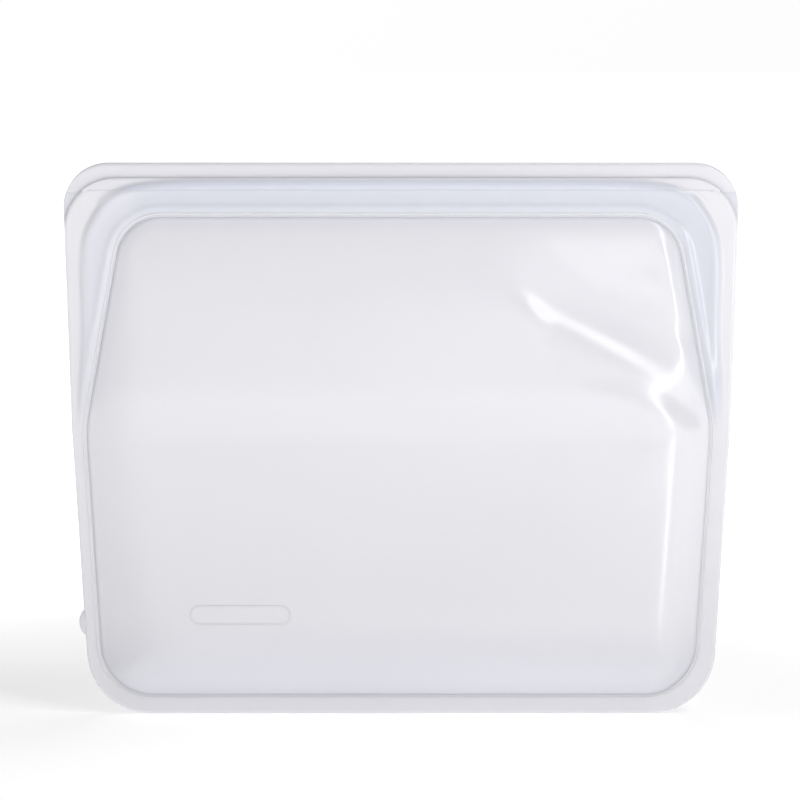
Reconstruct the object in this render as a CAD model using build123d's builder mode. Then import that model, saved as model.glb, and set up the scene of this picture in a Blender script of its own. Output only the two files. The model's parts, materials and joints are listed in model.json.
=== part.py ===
from build123d import *
import os

# Reusable silicone bag: two soft walls bonded along the bottom and the lower sides, with a
# pinch-lock zip that runs over the top and part way down each side. +X runs to the right seen
# from the front, -Y is the front, +Z is up. The origin is the middle of the bottom edge.

# ---------------------------------------------------------------- outline seen from the front
bag_width = 258.0            # widest, across the rear lip
bag_height = 211.6           # bottom edge to the top of the rear lip
upper_taper = 3.1            # how much each side draws in from the top to the mouth's ends
lower_taper = 6.7            # how much each side draws in from there to the bottom edge
bottom_corner_radius = 24.5
rear_corner_radius = 17.0    # upper corners of the rear half
front_corner_radius = 19.5   # upper corners of the front half

# ---------------------------------------------------------------- mouth, zip and lips
rear_lip_height = 10.1       # lip axis to the rear lip's free edge
front_lip_height = 4.4       # lip axis to the front lip's free edge
mouth_depth = 91.5           # lip axis down to the line where the mouth hinges
track_height = 10.5           # lip axis down to the top edge of the pocket panel
wedge_top_width = 22.3       # each side, from the outline in to the panel at the panel's top
parting_gap = 0.3            # between the front and rear halves of the closed zip
front_web_thickness = 3.35
rear_web_thickness = 4.35
rib_width = 2.0
rib_height = 2.3
rib_drop = 3.5               # rib centre below the track's top
rib_side_inset = 8.5         # rib centre in from the outline, at the upper corners
rib_corner_radius = 22.0
rib_clearance = 0.3          # between the rib and its groove, all round
rib_end_rise = 4.0           # the rib's ends stand this far above the mouth's hinge line
groove_run_out = 1.5         # the groove runs on past each end of the rib
lip_thickness = 1.5
lip_clearance = 0.08         # between a lip's round root and its seat
lip_lift = 0.4               # the lip axis stands this far above the track
front_lip_offset = 1.35      # lip centre from the parting plane
rear_lip_offset = 1.6

# ---------------------------------------------------------------- pocket panels and seams
bag_depth = 30.0             # over the two pocket faces
wall = 1.2                   # silicone sheet
seam_width = 4.8             # bonded edge outside the panel, at the sides
bottom_seam_width = 7.6      # bonded edge under the panel
seam_thickness = 3.0
seam_edge_radius = 1.2       # rounding of the bonded edge, front and back
land = 2.4                   # how far the seam and webs reach in under a panel's edge
flank_run = 24.0             # panel edge in to the flat pocket face
panel_bottom_radius = 20.0
panel_side_radius = 30.0
panel_top_radius = 14.0
face_bottom_radius = 22.0
face_top_radius = 20.0
band_half_height = 7.0       # flexing band above and below the hinge line
hinge_gap = 0.5              # seam top and web foot stand off the hinge line by this much
bead_inner = 0.5             # bead's inner edge outside the panel
bead_width = 1.4
bead_height = 0.8

# ---------------------------------------------------------------- small features
nub_radius = 4.5             # moulding stub on the left edge
nub_height = 35.5
nub_reach = 1.3              # how far it stands out of the edge
nub_thickness = 2.0
label_length = 38.0          # raised blank label frame, low on the left of the front face
label_height = 7.0
label_line = 0.8
label_relief = 0.4
label_x = -61.0
label_z = 40.0

# ---------------------------------------------------------------- sizes that follow
lip_axis_z = bag_height - rear_lip_height
front_top = lip_axis_z + front_lip_height
hinge_z = lip_axis_z - mouth_depth
track_top = lip_axis_z - lip_lift
panel_top = lip_axis_z - track_height
panel_bottom = bottom_seam_width
top_half = bag_width / 2
hinge_half = top_half - upper_taper
base_half = hinge_half - lower_taper
face_y = bag_depth / 2
seam_y = seam_thickness / 2
gap_y = parting_gap / 2
band_low = hinge_z - band_half_height
band_high = hinge_z + band_half_height
seam_top = hinge_z - hinge_gap
web_foot = hinge_z + hinge_gap
far = bag_width + bag_height   # longer than anything in the bag


def half_width(z):
    if z < hinge_z:
        return base_half + (hinge_half - base_half) * z / hinge_z
    return hinge_half + (top_half - hinge_half) * (z - hinge_z) / (bag_height - hinge_z)


panel_bottom_half = half_width(panel_bottom) - seam_width
panel_hinge_half = hinge_half - seam_width
panel_top_half = half_width(panel_top) - wedge_top_width
track_half = panel_top_half - panel_top_radius
bottom_seam_half = base_half - bottom_corner_radius


# ================================================================ outlines
def bag_outline(plane, top, corner_radius):
    # outer edge of one half of the bag, up to its own lip
    with BuildSketch(plane) as outline:
        with BuildLine():
            Polyline(
                (-base_half, 0),
                (base_half, 0),
                (hinge_half, hinge_z),
                (half_width(top), top),
                (-half_width(top), top),
                (-hinge_half, hinge_z),
                close=True,
            )
        make_face()
        fillet(outline.vertices().group_by(Axis.Y)[-1], corner_radius)
        fillet(outline.vertices().group_by(Axis.Y)[0], bottom_corner_radius)
    return outline.sketch


def panel_outline(plane, inset, bottom_radius, top_radius):
    # edge of the pocket panel, drawn in by the inset
    with BuildSketch(plane) as outline:
        with BuildLine():
            Polyline(
                (-panel_bottom_half, panel_bottom),
                (panel_bottom_half, panel_bottom),
                (panel_hinge_half, hinge_z),
                (panel_top_half, panel_top),
                (-panel_top_half, panel_top),
                (-panel_hinge_half, hinge_z),
                close=True,
            )
        make_face()
        offset(amount=-inset, kind=Kind.INTERSECTION)
        fillet(outline.vertices().group_by(Axis.Y)[-1], top_radius)
        fillet(outline.vertices().group_by(Axis.Y)[0], bottom_radius)
        fillet(outline.vertices().group_by(Axis.X)[0], panel_side_radius)
        fillet(outline.vertices().group_by(Axis.X)[-1], panel_side_radius)
    return outline.sketch


def panel_rim(plane, inset=0.0):
    return panel_outline(plane, inset, panel_bottom_radius - inset, panel_top_radius - inset)


def panel_face(plane):
    return panel_outline(plane, flank_run, face_bottom_radius, face_top_radius)


def zip_line(plane, width, run_out):
    # the zip's path: up one side, over the top and down the other, as a strip of given width
    side_x = (panel_hinge_half + hinge_half) / 2
    top_x = half_width(panel_top) - rib_side_inset
    top_z = track_top - rib_drop
    end_z = hinge_z + rib_end_rise
    lean = (side_x - top_x) / (top_z - end_z)
    with BuildSketch(plane) as strip:
        with BuildLine():
            FilletPolyline(
                (-side_x - lean * run_out, end_z - run_out),
                (-top_x, top_z),
                (top_x, top_z),
                (side_x + lean * run_out, end_z - run_out),
                radius=rib_corner_radius,
            )
        trace(line_width=width)
    return strip.sketch


# ================================================================ pocket walls
# Each wall is a shallow tray, open towards the other wall. The front one is cut into a lower
# wall, a band that flexes and a shoulder that opens with the mouth. The rear ones mirror them.
with BuildPart() as tray:
    loft(sections=[panel_rim(Plane.XZ.offset(seam_y)), panel_face(Plane.XZ.offset(face_y))], ruled=True)
    loft(
        sections=[
            panel_rim(Plane.XZ.offset(seam_y), land),
            panel_face(Plane.XZ.offset(face_y - wall)),
        ],
        ruled=True,
        mode=Mode.SUBTRACT,
    )

with BuildPart() as front_wall:
    add(tray.part)
    split(bisect_by=Plane.XY.offset(band_low), keep=Keep.BOTTOM)

with BuildPart() as rear_wall:
    mirror(front_wall.part, about=Plane.XZ)
rear_wall.part.label = "rear_wall"

with BuildPart() as front_flex_band:
    add(tray.part)
    split(bisect_by=Plane.XY.offset(band_low), keep=Keep.TOP)
    split(bisect_by=Plane.XY.offset(band_high), keep=Keep.BOTTOM)
front_flex_band.part.label = "front_flex_band"

with BuildPart() as rear_flex_band:
    mirror(front_flex_band.part, about=Plane.XZ)
rear_flex_band.part.label = "rear_flex_band"

with BuildPart() as front_shoulder_wall:
    add(tray.part)
    split(bisect_by=Plane.XY.offset(band_high), keep=Keep.TOP)
front_shoulder_wall.part.label = "front_shoulder_wall"

with BuildPart() as rear_shoulder_wall:
    mirror(front_shoulder_wall.part, about=Plane.XZ)
rear_shoulder_wall.part.label = "rear_shoulder_wall"

# Blank label frame, let into the front face
with BuildPart() as label_frame:
    with BuildSketch(Plane.XZ.offset(face_y)):
        with Locations((label_x, label_z)):
            SlotOverall(label_length, label_height)
            SlotOverall(label_length - 2 * label_line, label_height - 2 * label_line, mode=Mode.SUBTRACT)
    extrude(amount=-label_relief)
label_frame.part.label = "label_frame"

with BuildPart() as labelled_wall:
    add(front_wall.part)
    add(label_frame.part, mode=Mode.SUBTRACT)
labelled_wall.part.label = "front_wall"

# ================================================================ bonded seams
with BuildPart() as seam_ring:
    extrude(bag_outline(Plane.XZ, bag_height, rear_corner_radius), amount=seam_y, both=True)
    fillet(seam_ring.edges().filter_by(Axis.Y, reverse=True), seam_edge_radius)
    extrude(panel_rim(Plane.XZ, land), amount=seam_y, both=True, mode=Mode.SUBTRACT)
    split(bisect_by=Plane.XY.offset(seam_top), keep=Keep.BOTTOM)

with BuildPart() as bottom_seam:
    add(seam_ring.part)
    split(bisect_by=Plane.YZ.offset(bottom_seam_half), keep=Keep.BOTTOM)
    split(bisect_by=Plane.YZ.offset(-bottom_seam_half), keep=Keep.TOP)
bottom_seam.part.label = "bottom_seam"

with BuildPart() as right_seam:
    add(seam_ring.part)
    split(bisect_by=Plane.YZ.offset(bottom_seam_half), keep=Keep.TOP)
right_seam.part.label = "right_seam"

with BuildPart() as left_seam:
    mirror(right_seam.part, about=Plane.YZ)
left_seam.part.label = "left_seam"

# Raised bead that follows the lower edge of each panel
with BuildPart() as front_bead:
    extrude(panel_rim(Plane.XZ.offset(seam_y), -bead_inner - bead_width), amount=bead_height)
    extrude(panel_rim(Plane.XZ.offset(seam_y), -bead_inner), amount=bead_height, mode=Mode.SUBTRACT)
    split(bisect_by=Plane.XY.offset(band_low), keep=Keep.BOTTOM)
front_bead.part.label = "front_bead"

with BuildPart() as rear_bead:
    mirror(front_bead.part, about=Plane.XZ)
rear_bead.part.label = "rear_bead"

# Small moulding stub on the left edge
with BuildPart() as edge_nub:
    with BuildSketch(Plane.XZ.offset(-nub_thickness / 2)):
        with Locations((nub_radius / 2 - nub_reach - half_width(nub_height), nub_height)):
            Ellipse(nub_radius / 2, nub_radius)
    extrude(amount=nub_thickness)
    add(seam_ring.part, mode=Mode.SUBTRACT)
edge_nub.part.label = "edge_nub"


# ================================================================ mouth: webs, tracks, zip
def mouth_frame(side, top, corner_radius, web_thickness, lip_offset):
    # everything of one half between its panel's edge and its outline; side is 1 for the front
    near = Plane.XZ.offset(side * gap_y)
    with BuildPart() as frame:
        extrude(bag_outline(near, top, corner_radius), amount=side * web_thickness)
        extrude(panel_rim(near), amount=side * far, mode=Mode.SUBTRACT)
        extrude(bag_outline(near, top, corner_radius), amount=side * (seam_y - gap_y))
        extrude(panel_rim(near, land), amount=side * far, mode=Mode.SUBTRACT)
        split(bisect_by=Plane.XY.offset(web_foot), keep=Keep.TOP)
        split(bisect_by=Plane.XY.offset(track_top), keep=Keep.BOTTOM)
        with BuildSketch(Plane.YZ) as seat:
            with Locations((-side * lip_offset, lip_axis_z)):
                Circle(lip_thickness / 2 + lip_clearance)
        extrude(seat.sketch, amount=far, both=True, mode=Mode.SUBTRACT)
    return frame.part


front_frame = mouth_frame(1, front_top, front_corner_radius, front_web_thickness, front_lip_offset)
rear_frame = mouth_frame(-1, bag_height, rear_corner_radius, rear_web_thickness, rear_lip_offset)

with BuildPart() as grooved_rear_frame:
    add(rear_frame)
    extrude(
        zip_line(Plane.XZ.offset(-gap_y), rib_width + 2 * rib_clearance, groove_run_out),
        amount=-(rib_height - parting_gap + rib_clearance),
        mode=Mode.SUBTRACT,
    )

with BuildPart() as front_track:
    add(front_frame)
    split(bisect_by=Plane.YZ.offset(track_half), keep=Keep.BOTTOM)
    split(bisect_by=Plane.YZ.offset(-track_half), keep=Keep.TOP)
front_track.part.label = "front_track"

with BuildPart() as front_right_web:
    add(front_frame)
    split(bisect_by=Plane.YZ.offset(track_half), keep=Keep.TOP)
front_right_web.part.label = "front_right_web"

with BuildPart() as front_left_web:
    mirror(front_right_web.part, about=Plane.YZ)
front_left_web.part.label = "front_left_web"

with BuildPart() as rear_track:
    add(grooved_rear_frame.part)
    split(bisect_by=Plane.YZ.offset(track_half), keep=Keep.BOTTOM)
    split(bisect_by=Plane.YZ.offset(-track_half), keep=Keep.TOP)
rear_track.part.label = "rear_track"

with BuildPart() as rear_right_web:
    add(grooved_rear_frame.part)
    split(bisect_by=Plane.YZ.offset(track_half), keep=Keep.TOP)
rear_right_web.part.label = "rear_right_web"

with BuildPart() as rear_left_web:
    mirror(rear_right_web.part, about=Plane.YZ)
rear_left_web.part.label = "rear_left_web"

# Zip rib: stands on the front half and presses into the groove of the rear half
with BuildPart() as zip_rib:
    extrude(zip_line(Plane.XZ.offset(gap_y), rib_width, 0.0), amount=-rib_height)
    fillet(zip_rib.faces().sort_by(Axis.Y)[-1].edges(), rib_width / 4)
zip_rib.part.label = "zip_rib"


# ================================================================ pull lips
def pull_lip(side, top, corner_radius, lip_offset):
    # flat strip with a round root, cut to the outline of its own half
    with BuildPart() as lip:
        extrude(bag_outline(Plane.XZ, top, corner_radius), amount=far, both=True)
        with BuildSketch(Plane.YZ) as profile:
            with Locations((-side * lip_offset, (lip_axis_z + top) / 2)):
                Rectangle(lip_thickness, top - lip_axis_z)
            with Locations((-side * lip_offset, lip_axis_z)):
                Circle(lip_thickness / 2)
        extrude(profile.sketch, amount=far, both=True, mode=Mode.INTERSECT)
    return lip.part


front_lip = pull_lip(1, front_top, front_corner_radius, front_lip_offset)
front_lip.label = "front_lip"
rear_lip = pull_lip(-1, bag_height, rear_corner_radius, rear_lip_offset)
rear_lip.label = "rear_lip"

# ================================================================ files, one per piece
pieces = [
    labelled_wall.part,
    rear_wall.part,
    front_flex_band.part,
    rear_flex_band.part,
    front_shoulder_wall.part,
    rear_shoulder_wall.part,
    label_frame.part,
    bottom_seam.part,
    left_seam.part,
    right_seam.part,
    front_bead.part,
    rear_bead.part,
    edge_nub.part,
    front_track.part,
    front_left_web.part,
    front_right_web.part,
    rear_track.part,
    rear_left_web.part,
    rear_right_web.part,
    zip_rib.part,
    front_lip,
    rear_lip,
]
os.makedirs("parts", exist_ok=True)
for piece in pieces:
    export_step(piece, f"parts/{piece.label}.step")
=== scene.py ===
import json
import math
import bpy
import numpy as np
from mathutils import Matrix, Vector


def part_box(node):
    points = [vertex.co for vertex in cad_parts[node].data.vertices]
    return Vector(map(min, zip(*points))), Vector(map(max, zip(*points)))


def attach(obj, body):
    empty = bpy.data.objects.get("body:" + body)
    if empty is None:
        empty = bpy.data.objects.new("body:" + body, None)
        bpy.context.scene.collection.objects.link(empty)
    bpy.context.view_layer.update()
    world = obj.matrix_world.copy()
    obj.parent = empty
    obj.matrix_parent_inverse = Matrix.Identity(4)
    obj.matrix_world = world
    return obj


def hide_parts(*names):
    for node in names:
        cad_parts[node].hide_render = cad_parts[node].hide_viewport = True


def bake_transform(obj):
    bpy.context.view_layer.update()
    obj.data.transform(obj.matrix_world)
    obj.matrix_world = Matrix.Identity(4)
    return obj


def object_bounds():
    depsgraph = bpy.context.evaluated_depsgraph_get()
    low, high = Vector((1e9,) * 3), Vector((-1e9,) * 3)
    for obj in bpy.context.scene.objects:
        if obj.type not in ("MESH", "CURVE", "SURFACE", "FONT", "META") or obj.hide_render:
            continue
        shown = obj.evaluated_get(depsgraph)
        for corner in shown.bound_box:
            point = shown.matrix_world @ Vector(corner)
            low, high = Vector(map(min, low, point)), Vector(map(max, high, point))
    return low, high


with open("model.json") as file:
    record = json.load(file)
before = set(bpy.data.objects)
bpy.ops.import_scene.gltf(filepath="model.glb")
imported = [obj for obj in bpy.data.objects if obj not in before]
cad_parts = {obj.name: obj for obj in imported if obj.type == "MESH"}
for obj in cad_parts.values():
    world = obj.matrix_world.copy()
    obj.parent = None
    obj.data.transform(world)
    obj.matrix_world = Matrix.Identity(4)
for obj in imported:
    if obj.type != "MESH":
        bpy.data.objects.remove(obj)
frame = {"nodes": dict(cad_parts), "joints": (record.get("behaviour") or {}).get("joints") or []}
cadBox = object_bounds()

mm = 0.001
scene = bpy.context.scene
joints = {j["name"]: j for j in frame["joints"]}
hingeZ = joints["front_half_open"]["pos_m"][2]   # the mouth bends open about this height
lipZ = joints["front_lip_bend"]["pos_m"][2]      # the lips bend about this height

# Sizes the whole bag shares; the rest of its outline is read from the frame's own pieces
bag = {
    "bottomRadius": 24.5 * mm,
    "rearRadius": 17.0 * mm,
    "frontRadius": 19.5 * mm,
    "panelBottomRadius": 20.0 * mm,
    "panelSideRadius": 45.0 * mm,
    "panelTopRadius": 17.0 * mm,
    "panelShare": 0.985,         # the pillowed panel pulls in a little
    "panelShift": -1.0 * mm,     # and sits a little to the left
    "seamWidth": 4.8 * mm,
    "seamHalf": 1.5 * mm,        # half of the bonded seam's thickness
    "land": 2.4 * mm,            # how far the frame reaches in under a wall
    "wall": 1.2 * mm,
    "parting": 0.15 * mm,        # half of the gap between the closed halves
}
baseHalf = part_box("bottom_seam")[1].x + bag["bottomRadius"]
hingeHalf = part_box("right_seam")[1].x
topHalf = cadBox[1].x + 0.5 * mm
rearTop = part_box("rear_lip")[1].z
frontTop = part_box("front_lip")[1].z
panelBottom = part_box("front_wall")[0].z
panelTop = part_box("front_shoulder_wall")[1].z
cutZ = lipZ - 0.2 * mm           # the frame ends here and the lip goes on


def halfWidth(z):   # the outline leans out to the hinge, then a little less
    if z < hingeZ:
        return baseHalf + (hingeHalf - baseHalf) * z / hingeZ
    return hingeHalf + (topHalf - hingeHalf) * (z - hingeZ) / (rearTop - hingeZ)


panelHalf = {
    "bottom": halfWidth(panelBottom) - bag["seamWidth"],
    "hinge": hingeHalf - bag["seamWidth"],
    "top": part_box("front_track")[1].x + 14 * mm,
}


def smoothStep(value, start, end):
    t = np.clip((np.asarray(value, float) - start) / (end - start), 0, 1)
    return t * t * (3 - 2 * t)


# outlines, as loops whose points match one to one
loopPoints = {
    "bottomArc": 22, "sideArc": 10, "topArc": 28,
    "lowerSide": 44, "upperSide": 42, "across": 90,
}


def cornerArc(before, corner, after, radius, count):   # a rounded corner, tangent to both sides
    p, c, q = (np.array(v, float) for v in (before, corner, after))
    u = (p - c) / np.linalg.norm(p - c)
    v = (q - c) / np.linalg.norm(q - c)
    half = math.acos(np.clip(u @ v, -1, 1)) / 2
    middle = (u + v) / np.linalg.norm(u + v)
    centre = c + middle * radius / math.sin(half)
    start = c + u * radius / math.tan(half) - centre
    end = c + v * radius / math.tan(half) - centre
    first = math.atan2(start[1], start[0])
    turn = (math.atan2(end[1], end[0]) - first + math.pi) % (2 * math.pi) - math.pi
    angle = first + turn * np.linspace(0, 1, count)
    return centre + radius * np.stack([np.cos(angle), np.sin(angle)], 1)


def straightRun(start, end, count):   # the inner points of a straight stretch
    t = np.linspace(0, 1, count + 2)[1:-1, None]
    return np.array(start) * (1 - t) + np.array(end) * t


def mirrored(points):   # the same stretch on the left, so that the loop runs on
    return points[::-1] * [-1, 1]


def closeLoop(bottomArc, sideArc, topArc):   # right-hand arcs in, the whole loop out
    right = [
        bottomArc,
        straightRun(bottomArc[-1], sideArc[0], loopPoints["lowerSide"]),
        sideArc,
        straightRun(sideArc[-1], topArc[0], loopPoints["upperSide"]),
        topArc,
    ]
    left = [mirrored(part) for part in right[::-1]]
    top = straightRun(topArc[-1], left[0][0], loopPoints["across"])
    bottom = straightRun(left[-1][-1], bottomArc[0], loopPoints["across"])
    return np.concatenate(right + [top] + left + [bottom])


def panelLoop():
    low = (panelHalf["bottom"], panelBottom)
    middle = (panelHalf["hinge"], hingeZ)
    high = (panelHalf["top"], panelTop)
    loop = closeLoop(
        cornerArc((-low[0], low[1]), low, middle, bag["panelBottomRadius"], loopPoints["bottomArc"]),
        cornerArc(low, middle, high, bag["panelSideRadius"], loopPoints["sideArc"]),
        cornerArc(middle, high, (-high[0], high[1]), bag["panelTopRadius"], loopPoints["topArc"]),
    )
    return loop * [bag["panelShare"], 1] + [bag["panelShift"], 0]


def outerArc(top, radius, count):   # upper right corner of one half's outline
    corner = (halfWidth(top), top)
    return cornerArc((hingeHalf, hingeZ), corner, (-corner[0], top), radius, count)


def outerLoop(top, radius):   # one half's outline, cut straight along the foot of its lip
    low, middle, high = (baseHalf, 0), (hingeHalf, hingeZ), (halfWidth(top), top)
    arc = outerArc(top, radius, 400)
    arc = arc[arc[:, 1] <= cutZ]
    count = loopPoints["topArc"] // 2
    pick = np.linspace(0, len(arc) - 1, count).round().astype(int)
    cutStart = np.array([arc[-1][0], cutZ])
    cutEnd = np.array([panelHalf["top"] - bag["panelTopRadius"], cutZ])
    share = np.linspace(0, 1, loopPoints["topArc"] - count + 1)[1:, None]
    return closeLoop(
        cornerArc((-baseHalf, 0), low, middle, bag["bottomRadius"], loopPoints["bottomArc"]),
        cornerArc(low, middle, high, bag["panelSideRadius"], loopPoints["sideArc"]),
        np.concatenate([arc[pick], cutStart * (1 - share) + cutEnd * share]),
    )


def nearestOnPath(x, z, path, extra=None):   # distance to a path, with values carried along it
    best = np.full(np.shape(x), 1e9)
    carried = None if extra is None else np.zeros(np.shape(x) + (extra.shape[1],))
    for i in range(len(path) - 1):
        p, q = path[i], path[i + 1]
        d = q - p
        t = np.clip(((x - p[0]) * d[0] + (z - p[1]) * d[1]) / max(d @ d, 1e-12), 0, 1)
        away = np.hypot(x - p[0] - t * d[0], z - p[1] - t * d[1])
        closer = away < best
        best = np.where(closer, away, best)
        if extra is not None:
            value = extra[i] * (1 - t[..., None]) + extra[i + 1] * t[..., None]
            carried[closer] = value[closer]
    return best if extra is None else (best, carried)


def smoothPath(points, steps=8):   # Catmull-Rom through a few set points
    p = np.array(points, float)
    p = np.concatenate([2 * p[:1] - p[1:2], p, 2 * p[-1:] - p[-2:-1]])
    out = []
    for i in range(1, len(p) - 2):
        for t in np.linspace(0, 1, steps, endpoint=False):
            out.append(0.5 * (2 * p[i] + (p[i + 1] - p[i - 1]) * t
                              + (2 * p[i - 1] - 5 * p[i] + 4 * p[i + 1] - p[i + 2]) * t ** 2
                              + (3 * p[i] - p[i - 1] - 3 * p[i + 1] + p[i + 2]) * t ** 3))
    return np.array(out + [p[-2]])


panel = panelLoop()
loopSize = len(panel)
panelRing = np.concatenate([panel, panel[:1]])
print("outlines:", loopSize, "points a loop")


# materials
def linear(hexColour):
    value = [int(hexColour[i:i + 2], 16) / 255 for i in (1, 3, 5)]
    return tuple(c / 12.92 if c <= 0.04045 else ((c + 0.055) / 1.055) ** 2.4 for c in value) + (1.0,)


def addNode(tree, kind, settings=None, links=None):   # links are (from socket, to input)
    node = tree.nodes.new(kind)
    for key, value in (settings or {}).items():
        if isinstance(key, str) and hasattr(node, key):
            setattr(node, key, value)
        else:
            node.inputs[key].default_value = value
    for source, target in links or []:
        tree.links.new(source, node.inputs[target])
    return node


silicone = {
    # thin and thick: in thick silicone light travels further and comes out bluer; the thick colour also serves as
    # painted shade low on the walls and in the crease at the panel's bottom edge, and less of it as painted light on
    # the left wedge; then roughness
    "wall": ("#E6E5EA", "#D2D4DC", 0.20),
    "zip": ("#E6E5E9", "#D4D6DF", 0.22),
    "lip": ("#E4E3E8", "#D3D6E1", 0.31),
    "cloud": 45 * mm,            # slow change of haze over a wall
    "haze": 0.996,               # darkest of the cloud
    "satin": (-0.02, 0.04),      # change of roughness with the cloud
    "grain": 0.5 * mm,           # blasted tool finish, drawn coarser than it is so that it shows
    "speck": 0.99,               # darkest of the grain
    "relief": 0.02 * mm,
    "ior": 1.43,
    "bleed": 1.2 * mm,           # how far light spreads inside
    "bleedShare": 0.3,
    "coat": 0.6,
    "coatRoughness": 0.15,
}


def frostedSilicone(name, kind):
    # Platinum-cured silicone from a finely blasted mould: milky, softly glossy, a little bluer
    # where it is thick; the same darker, bluer colour is also painted in as shade where the gauge carries it
    s = silicone
    thinColour, thickAndShadeColour, roughness = s[kind]
    material = bpy.data.materials.new(name)
    material.use_nodes = True
    tree = material.node_tree
    tree.nodes.clear()
    place = addNode(tree, "ShaderNodeTexCoord").outputs["Object"]
    gauge = addNode(tree, "ShaderNodeAttribute", {"attribute_name": "gauge"})
    tint = addNode(tree, "ShaderNodeMix", {
        "data_type": "RGBA", 6: linear(thinColour), 7: linear(thickAndShadeColour),
    }, [(gauge.outputs["Fac"], 0)])
    clouds = addNode(tree, "ShaderNodeTexNoise", {"Scale": 1 / s["cloud"], "Detail": 1.0}, [(place, "Vector")])
    grain = addNode(tree, "ShaderNodeTexNoise", {"Scale": 1 / s["grain"], "Detail": 1.0}, [(place, "Vector")])
    haze = addNode(tree, "ShaderNodeMapRange", {
        "From Min": 0.25, "From Max": 0.75, "To Min": s["haze"], "To Max": 1.0,
    }, [(clouds.outputs["Fac"], "Value")])
    speck = addNode(tree, "ShaderNodeMapRange", {
        "From Min": 0.25, "From Max": 0.75, "To Min": s["speck"], "To Max": 1.0,
    }, [(grain.outputs["Fac"], "Value")])
    shade = addNode(tree, "ShaderNodeMath", {"operation": "MULTIPLY"}, [
        (haze.outputs["Result"], 0), (speck.outputs["Result"], 1),
    ])
    colour = addNode(tree, "ShaderNodeMix", {"data_type": "RGBA", "blend_type": "MULTIPLY", 0: 1.0}, [
        (tint.outputs[2], 6), (shade.outputs["Value"], 7),
    ])
    satin = addNode(tree, "ShaderNodeMapRange", {
        "From Min": 0.3, "From Max": 0.7,
        "To Min": roughness + s["satin"][0], "To Max": roughness + s["satin"][1],
    }, [(clouds.outputs["Fac"], "Value")])
    bump = addNode(tree, "ShaderNodeBump", {"Strength": 0.04, "Distance": s["relief"]}, [
        (grain.outputs["Fac"], "Height"),
    ])
    shader = addNode(tree, "ShaderNodeBsdfPrincipled", {
        "IOR": s["ior"],
        "Subsurface Weight": s["bleedShare"],
        "Subsurface Scale": s["bleed"],
        "Subsurface Radius": (1.0, 1.0, 1.0),
        "Coat Weight": s["coat"],
        "Coat Roughness": s["coatRoughness"],
        "Coat IOR": s["ior"],
    }, [
        (colour.outputs[2], "Base Color"), (satin.outputs["Result"], "Roughness"),
        (bump.outputs["Normal"], "Normal"),
    ])
    addNode(tree, "ShaderNodeOutputMaterial", None, [(shader.outputs["BSDF"], "Surface")])
    return material


wallSilicone = frostedSilicone("mouldedSiliconeWall", "wall")
zipSilicone = frostedSilicone("mouldedSiliconeZip", "zip")
lipSilicone = frostedSilicone("mouldedSiliconeLip", "lip")


# meshes
def makePiece(name, points, faces, material, gauge):   # the gauge: 0 for thin silicone, 1 for thick, and it also carries painted shade and painted light
    mesh = bpy.data.meshes.new(name)
    mesh.from_pydata([tuple(map(float, p)) for p in points], [], [tuple(map(int, f)) for f in faces])
    mesh.polygons.foreach_set("use_smooth", [True] * len(mesh.polygons))
    mesh.attributes.new("gauge", "FLOAT", "POINT").data.foreach_set("value", np.asarray(gauge, np.float32))
    mesh.materials.append(material)
    mesh.update()
    piece = bpy.data.objects.new(name, mesh)
    scene.collection.objects.link(piece)
    return piece


def gridFaces(rows, columns, flip=False, ringRows=False, ringColumns=True):
    # quads of a grid whose rows or columns may close up into rings
    faces = []
    for r in range(rows if ringRows else rows - 1):
        s = (r + 1) % rows
        for c in range(columns if ringColumns else columns - 1):
            d = (c + 1) % columns
            quad = (r * columns + c, r * columns + d, s * columns + d, s * columns + c)
            faces.append(quad[::-1] if flip else quad)
    return faces


# pocket walls: pillowed sheets, fuller below, with the front one pushed in at its upper right
wallShape = {
    "rings": 84,
    "belly": 13.4 * mm,          # fullest height above the panel's edge
    "profile": [                 # fullness by height, both in mm
        (0, 16.4), (25, 14.4), (40, 13.2), (60, 11.7), (80, 10.4), (100, 9.4),
        (120, 8.6), (140, 7.8), (160, 6.6), (180, 5.0), (200, 3.2),
    ],
    "leftRun": 23 * mm,          # width of each flank, from the panel's edge to its shoulder
    "rightRun": (10.5 * mm, 18.5 * mm, 28 * mm, 36 * mm),   # from low down to the zip
    "bottomRun": (21 * mm, 14 * mm),   # at the left and at the right
    "topSlope": 0.30,
    "fillet": 2.2 * mm,          # rounding where a wall meets the frame
    "sharpness": (5.0, 3.5),     # low down and by the zip; higher makes a tighter shoulder
}
webHeight = {-1: 3.5 * mm, 1: 4.5 * mm}   # front and rear


def zipZone(z):   # 0 on the bonded seam, 1 on the zip
    return smoothStep(z, hingeZ - 4 * mm, hingeZ + 16 * mm)


def rimHeight(z, side):   # the panel's edge stands higher where it meets the zip
    return bag["seamHalf"] + (webHeight[side] - bag["seamHalf"]) * zipZone(z)


def panelSide(z):   # half width of the panel at a height, before its shift
    heights = [panelBottom, hingeZ, panelTop]
    halves = [panelHalf["bottom"], panelHalf["hinge"], panelHalf["top"]]
    return bag["panelShare"] * np.interp(z, heights, halves)


def lowest(surfaces, power):   # a rounded minimum
    total = sum(np.maximum(s, 1e-5) ** -power for s in surfaces)
    return total ** (-1 / power)


def foldHeight(x, z, run):   # run: (x, z, height, width) in mm along it; a negative height is a valley
    run = smoothPath(np.array(run, float)) * mm
    away, carried = nearestOnPath(x, z, run[:, :2], run[:, 2:])
    return carried[..., 0] * np.exp(-((away / carried[..., 1]) ** 2))


bellyLine = smoothPath(wallShape["profile"]) * mm


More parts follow.
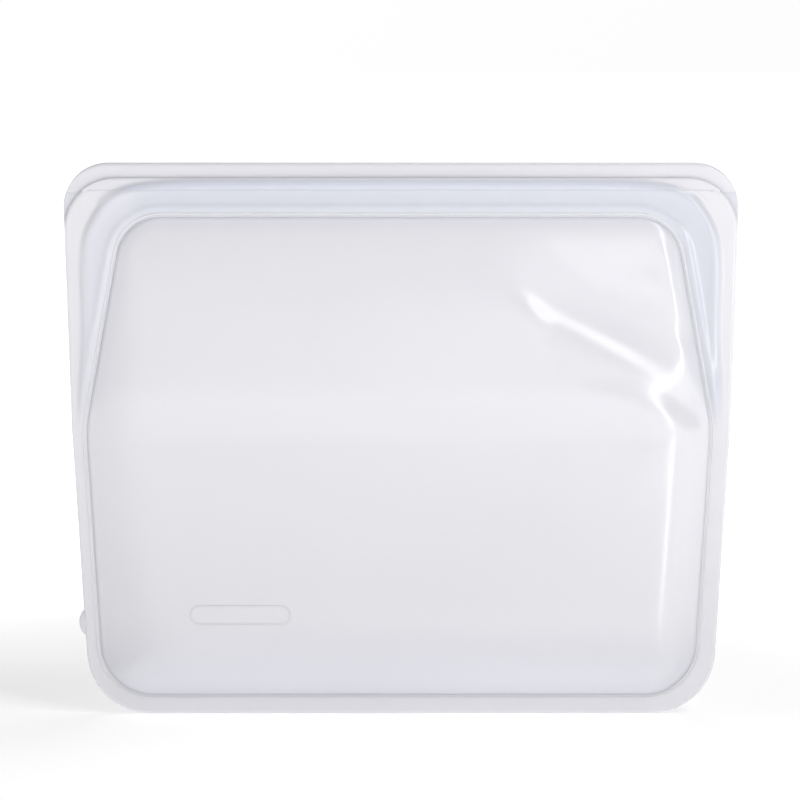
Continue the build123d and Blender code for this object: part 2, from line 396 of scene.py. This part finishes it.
def pillow(x, z, edge, sink=0):   # the plain stuffed shape, without folds
    s = wallShape
    belly = np.interp(z, bellyLine[:, 0], bellyLine[:, 1])   # fullest low down, thinning towards the zip
    right = panelSide(z) + bag["panelShift"] - x
    left = panelSide(z) - bag["panelShift"] + x
    rightRun = np.interp(z, [28 * mm, hingeZ, 150 * mm, 180 * mm], s["rightRun"])
    bottomRun = np.interp(x, [-100 * mm, 100 * mm], s["bottomRun"])
    return lowest([
        1.3 * edge,
        s["belly"] / bottomRun * (z - panelBottom),
        s["topSlope"] * (panelTop - z),
        s["belly"] / s["leftRun"] * left,
        s["belly"] / rightRun * right,
        np.maximum(belly - sink, 2 * mm),
    ], np.interp(z, [115 * mm, 145 * mm], s["sharpness"]))


dent = {
    "ridge": [                   # x and z of the ridge in mm; the wall falls away above it
        (27, 171), (43, 162.5), (55, 155), (70, 147.3), (86.5, 138.8),
        (99, 131.5), (110, 123), (116, 117), (125, 105),
    ],
    # how far it falls and how gently, by x in mm
    "drop": [(35, 0), (44, 1.2), (53, 2.6), (68, 3.9), (85, 4.5), (100, 4.4), (110, 3.4), (118, 2.4)],
    "soft": [(45, 3.0), (60, 4.2), (80, 4.8), (100, 5.6), (118, 6.0)],
}
frontFolds = [
    [(45, 160, 0.1, 4), (48, 157, 0.35, 4), (51, 150, 0.4, 4), (53, 142, 0.2, 4), (54, 134, 0.0, 4)],
    [
        (60, 146, -0.2, 7), (74, 134, -0.5, 8), (90, 128, -1.1, 7),
        (103, 123, -2.1, 5.5), (110, 118, -2.1, 4.5), (114.5, 112, -0.5, 4),
    ],
    [(98, 182, 0.1, 2.5), (101, 176, 0.9, 2.8), (103.5, 166, 1.1, 2.8), (106, 155, 0.8, 2.6), (107.5, 149, 0.1, 2.5)],
    [(107, 146, 0.1, 2.2), (109, 140, 0.9, 2.6), (112, 130, 1.1, 2.6), (114.5, 121, 0.7, 2.4), (115.5, 117, 0.1, 2)],
    [(89, 169, 0.1, 4), (94, 167, 0.5, 4), (99, 163, 0.4, 4), (103, 160, 0.1, 4)],
    [(92, 108, 0.1, 5), (93, 100, 0.4, 5), (94, 92, 0.3, 5), (95, 82, 0.0, 5)],
]


ridgeLine, dropLine, softLine = (smoothPath(dent[k]) * mm for k in ("ridge", "drop", "soft"))


def frontHeight(x, z, edge):   # height of the front wall above the panel's edge
    beyond = (z - np.interp(x, ridgeLine[:, 0], ridgeLine[:, 1])) * 0.85
    drop = np.interp(x, dropLine[:, 0], dropLine[:, 1])
    height = pillow(x, z, edge, drop * (1 + np.tanh(beyond / np.interp(x, softLine[:, 0], softLine[:, 1]))) / 2)
    folds = sum(foldHeight(x, z, run) for run in frontFolds)
    roll = np.sin(x / (31 * mm) + 0.8) * np.sin(z / (23 * mm) + 0.3) * 0.2 * mm
    roll = roll + np.sin(x / (17 * mm) - z / (29 * mm)) * 0.1 * mm
    height = height + folds * smoothStep(edge, 0.5 * mm, 5 * mm) + roll * smoothStep(edge, 4 * mm, 30 * mm)
    return height * (1 - np.exp(-edge / wallShape["fillet"]))


rearFolds = [
    [(-98, 132, -0.4, 9), (-72, 121, -1.3, 12), (-40, 118, -0.5, 15), (-15, 120, 0, 16)],
    [(40, 128, 0, 12), (70, 122, -0.8, 11), (104, 116, -1.2, 8), (114, 112, -0.5, 6)],
]


def rearHeight(x, z, edge):
    folds = sum(foldHeight(x, z, run) for run in rearFolds)
    height = pillow(x, z, edge) + folds * smoothStep(edge, 1 * mm, 10 * mm)
    roll = np.sin(x / (27 * mm) - 0.5) * np.sin(z / (25 * mm) + 1.1) * 0.25 * mm
    height = height + roll * smoothStep(edge, 4 * mm, 30 * mm)
    return height * (1 - np.exp(-edge / wallShape["fillet"]))


def makeWall(name, side, heightOf):   # side is -1 for the front and 1 for the rear
    rings = wallShape["rings"]
    centre = np.array([0.0, (panelBottom + panelTop) / 2])
    share = 1 - (1 - np.linspace(0, 1, rings + 1)[:-1]) ** 1.12
    grid = panel[None] * (1 - share[:, None, None]) + centre * share[:, None, None]
    x, z = grid[..., 0], grid[..., 1]
    edge = nearestOnPath(x, z, panelRing)
    edge[0] = 0
    rim = rimHeight(z, side)
    height = np.maximum(heightOf(x, z, edge), 0)
    step = 0.5 * mm
    slopeX = (heightOf(x + step, z, edge) - heightOf(x - step, z, edge)) / (2 * step)
    slopeZ = (heightOf(x, z + step, edge) - heightOf(x, z - step, edge)) / (2 * step)
    inner = height - bag["wall"] * np.sqrt(1 + np.minimum(slopeX ** 2 + slopeZ ** 2, 1.5))
    outside = np.stack([x, side * (rim + height), z], -1).reshape(-1, 3)
    inside = np.stack([x, side * (rim + inner), z], -1).reshape(-1, 3)
    centreRim = rimHeight(centre[1], side)
    middle = [[centre[0], side * (centreRim + h[-1].mean()), centre[1]] for h in (height, inner)]
    points = np.concatenate([outside, inside, middle])
    half = len(outside)
    faces = gridFaces(rings, loopSize, flip=side > 0)
    faces += [tuple(half + i for i in quad) for quad in gridFaces(rings, loopSize, flip=side < 0)]
    last = half - loopSize
    for c in range(loopSize):
        d = (c + 1) % loopSize
        edgeQuad = (c, half + c, half + d, d)
        cap = (last + c, last + d, 2 * half)
        capIn = (half + last + d, half + last + c, 2 * half + 1)
        faces += [edgeQuad, cap, capIn] if side < 0 else [edgeQuad[::-1], cap[::-1], capIn[::-1]]
    thickAndShade = (0.12 + 0.38 * smoothStep(rim, 2 * mm, 3.4 * mm)) * (1 - smoothStep(edge, 0, 7 * mm))
    # painted shade: below about 40 mm the wall is drawn darker and bluer, standing in for the shade on its lower
    # flank
    thickAndShade = thickAndShade + 0.45 * smoothStep(z, 40 * mm, 18 * mm)
    gauge = np.concatenate([thickAndShade.reshape(-1), thickAndShade.reshape(-1), [0, 0]])
    return makePiece(name, points, faces, wallSilicone, gauge)


# frame round each panel: bonded seam below, webs and zip band above, one face rule for frame and lip
bandArch = [   # outer edge of the thick zip band, from the right side up and over to the middle
    (123.6, 100), (123.2, 113), (122.2, 128), (121.3, 145), (121.4, 160), (121.6, 174),
    (119.9, 185.3), (115, 194.6), (110.4, 199.6), (103.5, 202.6), (95.9, 204.0), (84.4, 204.8),
    (60, 205.1), (0, 205.2),
]
frameShape = {
    "stations": 36,
    "edgeRound": 1.2 * mm,
    "lowEdge": 0.02 * mm,        # flat left under the rounding
    "flange": {-1: 2.1 * mm, 1: 2.35 * mm},   # outer face of the thin margin and of the lip
    "step": 2.0 * mm,            # how softly the band drops to the margin
    "ridgeAt": 3.6 * mm,         # rounded ridge beside the panel
    "ridgeWidth": 1.5 * mm,
    "ridgeHeight": 0.7 * mm,
    "bulgeIn": 2.4 * mm,         # the rib's bulge, in from the band's outer edge
    "bulgeWidth": 1.7 * mm,
    "bulgeHeight": 0.45 * mm,
    "grooveDepth": 2.4 * mm,     # groove in the rear half
    "rimFade": 0.8 * mm,         # how quickly the panel's rim runs out into the frame
    "underWall": 0.45 * mm,      # room between the land and the wall over it
    "film": 0.03 * mm,           # keeps the front and rear faces of the bonded seam apart
    "paleLeft": (96 * mm, 108 * mm),   # painted light: the left wedge is drawn a little paler from here outwards
}
archPath = smoothPath(bandArch) * mm
archPath = np.concatenate([archPath, mirrored(archPath[:-1])])


def insideBand(x, z):   # distance in from the band's outer edge, negative outside it
    rising = archPath[: len(archPath) // 2 + 1]
    reach = np.interp(z, rising[:, 1], rising[:, 0])
    inside = (np.abs(x) < reach) & (z < rising[-1, 1])
    return np.where(inside, 1, -1) * nearestOnPath(x, z, archPath)


def bandFace(x, z, side, offset=None):   # how far the band or margin stands out from the middle
    f = frameShape
    depth = insideBand(x, z)
    flange = f["flange"][side]
    face = flange + (webHeight[side] - flange) * smoothStep(depth, -f["step"] / 2, f["step"] / 2)
    bulge = np.exp(-(((depth - f["bulgeIn"]) / f["bulgeWidth"]) ** 2)) * f["bulgeHeight"]
    if offset is not None:
        upright = smoothStep(panelTop + 2 * mm - z, 0, 14 * mm) * 0.7 + 0.3
        bulge = bulge + np.exp(-(((offset - f["ridgeAt"]) / f["ridgeWidth"]) ** 2)) * f["ridgeHeight"] * upright
        bulge = bulge * smoothStep(offset + np.maximum(depth, 0), 3 * mm, 8 * mm)
    return face + bulge, depth


def inwardNormals(loop):
    ahead = np.roll(loop, -1, 0) - np.roll(loop, 1, 0)
    ahead /= np.linalg.norm(ahead, axis=1)[:, None]
    return np.stack([-ahead[:, 1], ahead[:, 0]], 1)


def frameFace(x, z, side, offset):   # the seam's or the zip's outer face, before the rim runs into it
    zone = zipZone(z)
    high, depth = bandFace(x, z, side, offset)
    return bag["seamHalf"] * (1 - zone) + high * zone, depth


def makeFrame(name, side, top, radius, groove=None):
    f = frameShape
    outer = outerLoop(top, radius)
    share = np.linspace(0, 1, f["stations"])[:, None]
    width = np.linalg.norm(outer - panel, axis=1)[None]
    offset = share * width
    place = panel[None] * (1 - share[..., None]) + outer[None] * share[..., None]
    x, z = place[..., 0], place[..., 1]
    zone = zipZone(z)
    face, depth = frameFace(x, z, side, offset)
    rim = rimHeight(panel[:, 1], side)[None]
    face = face + (rim - face[:1]) * np.exp(-offset / f["rimFade"])
    gap = bag["parting"] * zone + f["film"]
    toEdge = np.clip((offset - width + f["edgeRound"]) / f["edgeRound"], 0, 1)
    free = (outer[:, 1] < cutZ - 0.01 * mm)[None]   # only the free outline is rounded, not the lip's foot
    rise = face - gap - f["lowEdge"]
    face = np.where(free, gap + f["lowEdge"] + rise * np.sqrt(np.maximum(1 - toEdge ** 2, 0)), face)
    landPlace = panel + inwardNormals(panel) * bag["land"]
    landFace = rimHeight(landPlace[:, 1], side) - bag["wall"] - f["underWall"]
    stepPlace = panel + inwardNormals(panel) * -f["film"]
    stepFace = rimHeight(panel[:, 1], side) - bag["wall"] - f["underWall"]
    thin = np.zeros(loopSize)
    rows = [(landPlace, landFace, thin), (stepPlace, stepFace, thin)]   # place, height and gauge
    thickAndShade = smoothStep(depth, -1.2 * mm, 1.2 * mm) * zone * 0.85 + 0.15
    # painted light: the left wedge gets less of the thick colour, so it shows paler
    thickAndShade = thickAndShade * (1 - 0.4 * smoothStep(-x, *f["paleLeft"]))
    # painted shade: a darker, bluer band in the crease along the panel's bottom edge
    foot = 0.5 * (1 - smoothStep(offset, 0, 2.5 * mm)) * smoothStep(z, 16 * mm, 9 * mm)
    rows += [(place[k], face[k], np.clip(thickAndShade[k] + foot[k], 0, 1)) for k in range(f["stations"])]
    for t in np.linspace(1, 0, f["stations"] + 16):
        spot = panel * (1 - t) + outer * t
        y = bag["parting"] * zipZone(spot[:, 1]) + f["film"]
        if groove is not None:
            away = nearestOnPath(spot[:, 0], spot[:, 1], groove)
            y = y + f["grooveDepth"] * (1 - smoothStep(away, 1.1 * mm, 1.6 * mm))
        rows.append((spot, y, 0.6 * zipZone(spot[:, 1])))
    rows.append((landPlace, bag["parting"] * zipZone(landPlace[:, 1]) + f["film"], thin))
    points = np.concatenate([np.stack([p[:, 0], side * y, p[:, 1]], 1) for p, y, g in rows])
    faces = gridFaces(len(rows), loopSize, flip=side < 0, ringRows=True)
    return makePiece(name, points, faces, zipSilicone, np.concatenate([g for p, y, g in rows]))


# lips: the band's face runs on up and thins to the free edge
lipShape = {
    "root": 1.3 * mm,            # reach down inside the track
    "rows": 16,
    "edge": 0.7 * mm,            # rounding of the free edge
    "inner": 0.12 * mm,          # inner face, off the middle
    "wave": 0.22 * mm,
    "tuck": 0.06 * mm,           # the root stays this far inside the track's face
}


def makeLip(name, side, top, radius):
    s = lipShape
    arc = outerArc(top, radius, 240)
    arc = arc[arc[:, 1] >= cutZ + 0.05 * mm][::3]
    crown = straightRun(arc[-1], arc[-1] * [-1, 1], 150)
    rim = np.concatenate([arc, crown, mirrored(arc)])
    columns = len(rim)
    outside, inside, gauge = [], [], []
    for t in np.linspace(-0.25, 1, s["rows"]):              # rows below 0 are the root, hidden in the track
        x, z = rim[:, 0], cutZ + np.where(t < 0, t * 4 * s["root"], (rim[:, 1] - cutZ) * t)
        face, depth = bandFace(x, z, side)
        toEdge = rim[:, 1] - z
        rounding = np.sqrt(np.clip(1 - np.clip(1 - toEdge / s["edge"], 0, 1) ** 2, 0.0, 1))
        middle = (face + s["inner"]) / 2
        half = (face - s["inner"]) / 2 * rounding + 0.01 * mm
        up = np.maximum(z - cutZ, 0)
        wave = s["wave"] * np.sin(x / (38 * mm) + side) * smoothStep(up, 0, 8 * mm)
        tuck = s["tuck"] * (z < cutZ - 0.1 * mm)
        outside.append(np.stack([x, side * (middle + half - tuck) + wave, z], 1))
        inside.append(np.stack([x, side * (middle - half) + wave, z], 1))
        gauge.append(smoothStep(depth, -1.2 * mm, 1.2 * mm) * 0.85 + 0.15)
    rows = outside + inside[::-1]
    count = len(rows)
    faces = gridFaces(count, columns, flip=side < 0, ringRows=True, ringColumns=False)
    start = [r * columns for r in range(count)]
    end = [r * columns + columns - 1 for r in range(count)]
    faces += [start[::-1], end] if side < 0 else [start, end[::-1]]
    return makePiece(name, np.concatenate(rows), faces, lipSilicone, np.concatenate(gauge + gauge[::-1]))


# raised lines, swept along a path by Geometry Nodes
def sweepTree():
    tree = bpy.data.node_groups.new("raisedLine", "GeometryNodeTree")
    tree.is_modifier = True
    face = tree.interface
    face.new_socket("Path", in_out="INPUT", socket_type="NodeSocketGeometry")
    face.new_socket("Radius", in_out="INPUT", socket_type="NodeSocketFloat")
    face.new_socket("Material", in_out="INPUT", socket_type="NodeSocketMaterial")
    face.new_socket("Line", in_out="OUTPUT", socket_type="NodeSocketGeometry")
    given = addNode(tree, "NodeGroupInput").outputs
    path = addNode(tree, "GeometryNodeMeshToCurve", None, [(given["Path"], "Mesh")])
    profile = addNode(tree, "GeometryNodeCurvePrimitiveCircle", {"Resolution": 10}, [(given["Radius"], "Radius")])
    sweep = addNode(tree, "GeometryNodeCurveToMesh", {"Fill Caps": True}, [
        (path.outputs["Curve"], "Curve"), (profile.outputs["Curve"], "Profile Curve"),
    ])
    smooth = addNode(tree, "GeometryNodeSetShadeSmooth", None, [(sweep.outputs["Mesh"], "Geometry")])
    real = addNode(tree, "GeometryNodeRealizeInstances", None, [(smooth.outputs["Geometry"], "Geometry")])
    painted = addNode(tree, "GeometryNodeSetMaterial", None, [
        (real.outputs["Geometry"], "Geometry"), (given["Material"], "Material"),
    ])
    addNode(tree, "NodeGroupOutput", None, [(painted.outputs["Geometry"], "Line")])
    return tree


lineTree = sweepTree()


def makeRaisedLine(name, path, radius, closed, material, gauge):
    mesh = bpy.data.meshes.new(name + "Path")
    count = len(path)
    edges = [(i, (i + 1) % count) for i in range(count if closed else count - 1)]
    mesh.from_pydata([tuple(map(float, p)) for p in path], edges, [])
    carrier = bpy.data.objects.new(name + "Path", mesh)
    scene.collection.objects.link(carrier)
    sweep = carrier.modifiers.new("raisedLine", "NODES")
    sweep.node_group = lineTree
    for item in lineTree.interface.items_tree:
        if item.item_type == "SOCKET" and item.in_out == "INPUT" and item.name in ("Radius", "Material"):
            sweep[item.identifier] = radius if item.name == "Radius" else material
    swept = bpy.data.meshes.new_from_object(carrier.evaluated_get(bpy.context.evaluated_depsgraph_get()))
    swept.name = name
    swept.attributes.new("gauge", "FLOAT", "POINT").data.foreach_set("value", [gauge] * len(swept.vertices))
    bpy.data.objects.remove(carrier)
    piece = bpy.data.objects.new(name, swept)
    scene.collection.objects.link(piece)
    return piece


bead = {"radius": 0.5 * mm, "out": 1.25 * mm, "sunk": 0.27 * mm}


def makeBead(name, side):   # thin moulded line round the panel, just outside its edge
    path = panel - inwardNormals(panel) * bead["out"]
    x, z = path[:, 0], path[:, 1]
    face = frameFace(x, z, side, np.full(loopSize, bead["out"]))[0]
    edgeFace = frameFace(panel[:, 0], panel[:, 1], side, np.zeros(loopSize))[0]
    rim = rimHeight(panel[:, 1], side)
    face = face + (rim - edgeFace) * math.exp(-bead["out"] / frameShape["rimFade"]) - bead["sunk"]
    return makeRaisedLine(name, np.stack([x, side * face, z], 1), bead["radius"], True, zipSilicone, 0.1)


label = {
    "x": -61 * mm, "z": 40 * mm, "length": 38 * mm, "height": 7 * mm,
    "radius": 0.5 * mm, "sunk": 0.3 * mm,
}


def makeLabel():   # plain embossed oval for a name, low on the front wall
    r = label["height"] / 2
    reach = label["length"] / 2 - r
    turn = np.linspace(-math.pi / 2, math.pi / 2, 14)
    cap = np.stack([reach + r * np.cos(turn), r * np.sin(turn)], 1)
    ring = np.concatenate([
        cap, straightRun(cap[-1], (-reach, r), 20), -cap, straightRun((-reach, -r), cap[0], 20),
    ])
    x, z = ring[:, 0] + label["x"], ring[:, 1] + label["z"]
    face = rimHeight(z, -1) + frontHeight(x, z, nearestOnPath(x, z, panelRing)) - label["sunk"]
    return makeRaisedLine("labelOval", np.stack([x, -face, z], 1), label["radius"], True, wallSilicone, 0.0)


nub = {"z": 35.5 * mm, "reach": 2.2 * mm, "half": (4.2 * mm, 1.35 * mm, 5.6 * mm)}


def makeNub():   # small moulded stop on the left edge
    a, b, c = nub["half"]
    centre = -(halfWidth(nub["z"]) + nub["reach"] - a)
    rings, around = 14, 28
    points = [(centre, 0, nub["z"] - c)]
    for i in range(1, rings):
        lift = -math.cos(math.pi * i / rings)
        girth = math.sqrt(1 - lift ** 2)
        for k in range(around):
            turn = 2 * math.pi * k / around
            points.append((centre + a * girth * math.cos(turn), b * girth * math.sin(turn), nub["z"] + c * lift))
    points.append((centre, 0, nub["z"] + c))
    faces = [tuple(1 + i for i in quad) for quad in gridFaces(rings - 1, around)]
    last = 1 + (rings - 2) * around
    for k in range(around):
        n = (k + 1) % around
        faces += [(0, 1 + n, 1 + k), (last + k, last + n, len(points) - 1)]
    return makePiece("edgeStop", points, faces, zipSilicone, np.full(len(points), 0.2))


# the rib's line, which the groove follows
rib = {"rise": 2.5 * mm, "drop": 1.0 * mm, "inset": 8.5 * mm, "radius": 22 * mm}


def ribLine():
    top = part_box("zip_rib")[1].z - rib["drop"]
    topX = halfWidth(panelTop) - rib["inset"]
    low = ((panelHalf["hinge"] + hingeHalf) / 2, hingeZ + rib["rise"])
    corner = cornerArc(low, (topX, top), (-topX, top), rib["radius"], 16)
    right = np.concatenate([[low], straightRun(low, corner[0], 24), corner])
    return np.concatenate([right, straightRun(right[-1], right[-1] * [-1, 1], 60), mirrored(right)])


# build the pieces, bake them in place and hide the frame's pieces they stand for; only the marks hang on the pouch
frontWall = makeWall("frontWall", -1, frontHeight)
rearWall = makeWall("rearWall", 1, rearHeight)
print("walls:", len(frontWall.data.polygons), "faces each")
frontFrame = makeFrame("frontSeamAndZip", -1, frontTop, bag["frontRadius"])
rearFrame = makeFrame("rearSeamAndZip", 1, rearTop, bag["rearRadius"], ribLine())
frontLip = makeLip("frontPullLip", -1, frontTop, bag["frontRadius"])
rearLip = makeLip("rearPullLip", 1, rearTop, bag["rearRadius"])
frontBead, rearBead = makeBead("frontBeadLine", -1), makeBead("rearBeadLine", 1)
labelOval, edgeStop = makeLabel(), makeNub()
print("frames, lips and lines made")

seams = ["left_seam", "right_seam", "bottom_seam"]
hinged = [
    (frontWall, "front_half", "wall_silicone", ["front_wall", "front_flex_band", "front_shoulder_wall"]),
    (rearWall, "rear_half", "wall_silicone", ["rear_wall", "rear_flex_band", "rear_shoulder_wall"]),
    (frontFrame, "front_half", "zip_silicone", ["front_track", "front_left_web", "front_right_web"] + seams),
    (rearFrame, "rear_half", "zip_silicone", ["rear_track", "rear_left_web", "rear_right_web"] + seams),
    (frontBead, "front_half", "bead_silicone", ["front_bead"]),
    (rearBead, "rear_half", "bead_silicone", ["rear_bead"]),
]
for piece, body, slot, nodes in hinged:
    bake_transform(piece)
    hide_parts(*nodes)
pulls = [
    (frontLip, "front_half", "front_pull", "front_lip"),
    (rearLip, "rear_half", "rear_pull", "rear_lip"),
]
for piece, half, pull, node in pulls:
    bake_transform(piece)
    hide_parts(node)
marks = [(labelOval, "label_frame", "wall_silicone"), (edgeStop, "edge_nub", "seam_silicone")]
for piece, node, slot in marks:
    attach(piece, "pouch")
    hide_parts(node)
frame["nodes"]["zip_rib"].data.materials.clear()
frame["nodes"]["zip_rib"].data.materials.append(zipSilicone)

# floor, light, camera
studio = {
    "floorSize": 120.0,          # so wide that it fills the background
    "glow": (0.41, 1.05),        # the floor's own light near the bag and far from it
    "glowReach": (0.15, 0.7),
    "skyAzimuth": -79,
    "skyElevation": 32,
    "sky": (0.03, 0.45),         # away from the sky's bright side and in the middle of it
    "horizon": 0.95,
    "distance": 1.5,
    "elevation": 5.0,
    "viewWidth": 0.3056,         # width of the view at the bag
    "aimX": -0.4 * mm,
    "aimZ": 121.0 * mm,
    "softboxes": [               # azimuth, (distance, height), (width, height), watts, tilt
        ("windowStrip", 32, (1.2, 0.63), (0.20, 1.24), 4.8, 0),
        ("keySoftbox", 50, (1.0, 1.35), (0.5, 0.5), 4.2, 52),
        ("overheadSoftbox", 150, (0.5, 1.25), (0.7, 0.5), 2.5, 68),
    ],
}


def makeFloor():
    # matte seamless paper, lit up to white away from the bag
    paper = bpy.data.materials.new("whitePaperFloor")
    paper.use_nodes = True
    tree = paper.node_tree
    shader = tree.nodes["Principled BSDF"]
    shader.inputs["Base Color"].default_value = linear("#F8F8F8")
    shader.inputs["Roughness"].default_value = 0.8
    shader.inputs["Specular IOR Level"].default_value = 0.1
    shader.inputs["Emission Color"].default_value = (1, 1, 1, 1)
    place = addNode(tree, "ShaderNodeTexCoord").outputs["Object"]
    away = addNode(tree, "ShaderNodeVectorMath", {"operation": "LENGTH"}, [(place, 0)])
    glow = addNode(tree, "ShaderNodeMapRange", {
        "interpolation_type": "SMOOTHSTEP",
        "From Min": studio["glowReach"][0], "From Max": studio["glowReach"][1],
        "To Min": studio["glow"][0], "To Max": studio["glow"][1],
    }, [(away.outputs["Value"], "Value")])
    tree.links.new(glow.outputs["Result"], shader.inputs["Emission Strength"])
    half = studio["floorSize"] / 2
    mesh = bpy.data.meshes.new("floor")
    corners = [(-half, -half, 0), (half, -half, 0), (half, half, 0), (-half, half, 0)]
    mesh.from_pydata(corners, [], [(0, 1, 2, 3)])
    mesh.materials.append(paper)
    floor = bpy.data.objects.new("floor", mesh)
    scene.collection.objects.link(floor)


def addSoftbox(name, azimuth, place, size, watts, tilt):   # place: distance out and height of its middle
    light = bpy.data.lights.new(name, "AREA")
    light.shape = "RECTANGLE"
    light.size, light.size_y, light.energy = size[0], size[1], watts
    box = bpy.data.objects.new(name, light)
    a = math.radians(azimuth)
    box.location = (math.sin(a) * place[0], -math.cos(a) * place[0], place[1])
    box.rotation_euler = (math.radians(90 - tilt), 0, a)
    scene.collection.objects.link(box)


def makeWorld():   # one broad soft light high in front, and a white band low down all round
    world = bpy.data.worlds.new("paleStudio")
    world.use_nodes = True
    tree = world.node_tree
    tree.nodes.clear()
    a, e = math.radians(studio["skyAzimuth"]), math.radians(studio["skyElevation"])
    toward = (math.sin(a) * math.cos(e), -math.cos(a) * math.cos(e), math.sin(e))
    place = addNode(tree, "ShaderNodeTexCoord").outputs["Generated"]
    height = addNode(tree, "ShaderNodeSeparateXYZ", None, [(place, "Vector")]).outputs["Z"]
    facing = addNode(tree, "ShaderNodeVectorMath", {"operation": "DOT_PRODUCT", 1: toward}, [(place, 0)])
    lobe = addNode(tree, "ShaderNodeMapRange", {
        "interpolation_type": "SMOOTHSTEP", "From Min": -0.3, "From Max": 1.0,
        "To Min": studio["sky"][0], "To Max": studio["sky"][1],
    }, [(facing.outputs["Value"], "Value")])
    horizon = addNode(tree, "ShaderNodeMapRange", {
        "interpolation_type": "SMOOTHSTEP", "From Min": 0.06, "From Max": 0.14,
        "To Min": studio["horizon"], "To Max": 0.0,
    }, [(height, "Value")])
    level = addNode(tree, "ShaderNodeMath", {"operation": "ADD"}, [
        (lobe.outputs["Result"], 0), (horizon.outputs["Result"], 1),
    ])
    sky = addNode(tree, "ShaderNodeBackground", {"Color": (1, 1, 1, 1)}, [(level.outputs["Value"], "Strength")])
    addNode(tree, "ShaderNodeOutputWorld", None, [(sky.outputs["Background"], "Surface")])
    scene.world = world


def makeCamera():
    e = math.radians(studio["elevation"])
    back = Vector((0, -math.cos(e), math.sin(e)))
    data = bpy.data.cameras.new("camera")
    data.sensor_width = 36
    data.lens = 36 * studio["distance"] / studio["viewWidth"]
    camera = bpy.data.objects.new("camera", data)
    camera.location = Vector((studio["aimX"], 0, studio["aimZ"])) + back * studio["distance"]
    camera.rotation_euler = (-back).to_track_quat("-Z", "Y").to_euler()
    scene.collection.objects.link(camera)
    scene.camera = camera


makeFloor()
makeWorld()
for softbox in studio["softboxes"]:
    addSoftbox(*softbox)
makeCamera()
scene.view_settings.view_transform = "Standard"
print("studio set")
